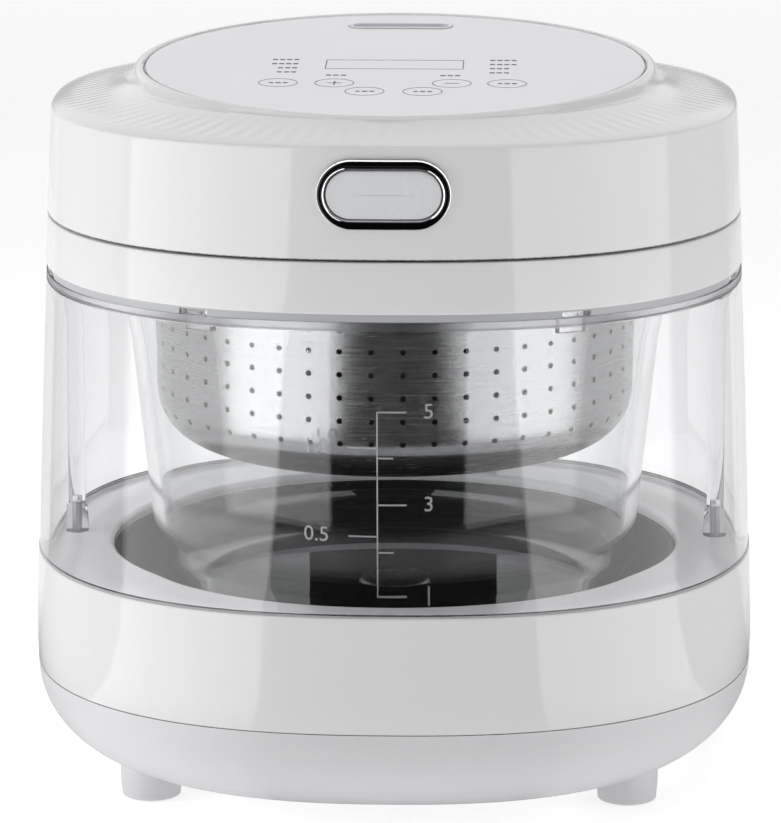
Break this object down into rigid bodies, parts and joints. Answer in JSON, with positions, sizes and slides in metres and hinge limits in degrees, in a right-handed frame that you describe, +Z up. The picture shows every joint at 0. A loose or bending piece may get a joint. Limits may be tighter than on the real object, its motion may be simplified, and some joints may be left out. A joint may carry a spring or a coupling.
{
  "type": "rice cooker",
  "caption": "Rounded-square rice cooker with a clear window, glass inner pot, perforated steaming basket, hinged lid with a round touch panel and a push-button latch.",
  "frame": {"origin": "on the ground, below the axis of the pot", "axes": "+Z up along the pot's axis, front with the release button towards -Y, +X to the right seen from the front"},
  "size_m": [0.257, 0.2657, 0.2564],
  "materials": {
    "satin_white": "fine satin moulded plastic",
    "foot_rubber": "grey rubber",
    "screw_steel": "plated steel",
    "spring_steel": "drawn spring wire",
    "gloss_white": "high-gloss white plastic",
    "pale_plastic": "light grey satin plastic",
    "dark_liner": "dark heat-resistant paint",
    "plate_aluminium": "turned aluminium",
    "element_steel": "heat-stained steel tube",
    "black_plastic": "black moulded plastic",
    "board_green": "lacquered circuit board",
    "grey_seal": "grey seal",
    "clear_plastic": "clear moulded plastic",
    "cable_sheath": "black cable sheath",
    "silicone": "translucent silicone",
    "pot_glass": "clear borosilicate glass",
    "brushed_steel": "circular-brushed stainless steel",
    "panel_face": "pale lavender-grey printed panel",
    "vent_grey": "silver-grey plastic",
    "bezel_black": "gloss black plastic",
    "bezel_chrome": "bright trim",
    "button_silver": "silver-grey satin paint"
  },
  "bodies": {
    "base": {"bottom_cover": "satin_white", "feet": "satin_white", "foot_pads": "foot_rubber", "foot_screws": "screw_steel", "base_housing": "gloss_white", "deck_ring": "pale_plastic", "well_liner": "dark_liner", "heating_plate": "plate_aluminium", "heating_element": "element_steel", "plate_supports": "screw_steel", "sensor_guide": "plate_aluminium", "sensor_spring": "spring_steel", "thermal_cutout": "black_plastic", "power_board": "board_green", "board_parts": "black_plastic", "inlet_housing": "black_plastic", "inlet_pins": "screw_steel", "inlet_screws": "screw_steel", "window_seal_lower": "grey_seal", "window": "clear_plastic", "window_seal_upper": "grey_seal", "window_clips": "clear_plastic", "tie_posts": "clear_plastic", "post_screws": "screw_steel", "rear_spine": "dark_liner", "spine_cable": "cable_sheath", "collar": "gloss_white", "pot_seat_ring": "silicone", "latch_catch": "screw_steel", "hinge_bracket": "gloss_white", "hinge_pin": "screw_steel", "hinge_spring": "spring_steel"},
    "sensor": {"sensor_plunger": "plate_aluminium"},
    "pot": {"glass_pot": "pot_glass"},
    "basket": {"steam_basket": "brushed_steel"},
    "lid": {"lid_shell": "gloss_white", "lid_liner": "pale_plastic", "lid_screws": "screw_steel", "hinge_arms": "gloss_white", "inner_lid": "brushed_steel", "lid_gasket": "silicone", "steam_valve": "silicone", "steam_duct": "pale_plastic", "steam_vent_cap": "vent_grey", "control_panel": "panel_face", "display_module": "black_plastic", "touch_board": "board_green", "button_bezel": "bezel_black", "bezel_trim": "bezel_chrome", "button_spring": "spring_steel", "latch_pin": "screw_steel"},
    "button": {"lid_button": "button_silver"},
    "latch": {"latch_hook": "screw_steel"}
  },
  "joints": [
    {"name": "lid_hinge", "type": "hinge", "parent": "base", "child": "lid", "pos_m": [0, 0.131, 0.204], "axis": [-1, 0, 0], "range_deg": [0, 85]},
    {"name": "button_slide", "type": "slide", "parent": "lid", "child": "button", "axis": [0, 1, 0], "range_m": [0, 0.0025], "stiffness_N_per_m": 800, "springref_m": -0.001, "deforming": ["button_spring"]},
    {"name": "latch_pivot", "type": "hinge", "parent": "lid", "child": "latch", "pos_m": [0, -0.1135, 0.2115], "axis": [-1, 0, 0], "range_deg": [0, 9.5]},
    {"name": "sensor_slide", "type": "slide", "parent": "base", "child": "sensor", "axis": [0, 0, 1], "range_m": [-0.0015, 0], "stiffness_N_per_m": 300, "springref_m": 0.006, "deforming": ["sensor_spring"]},
    {"name": "pot_turn", "type": "hinge", "parent": "base", "child": "pot", "pos_m": [0, 0, 0.06], "axis": [0, 0, 1], "continuous": true},
    {"name": "basket_turn", "type": "hinge", "parent": "pot", "child": "basket", "pos_m": [0, 0, 0.2009], "axis": [0, 0, 1], "continuous": true}
  ],
  "couplings": [
    {"joint": "latch_pivot", "follows": "button_slide", "rad_per_m": 66}
  ]
}
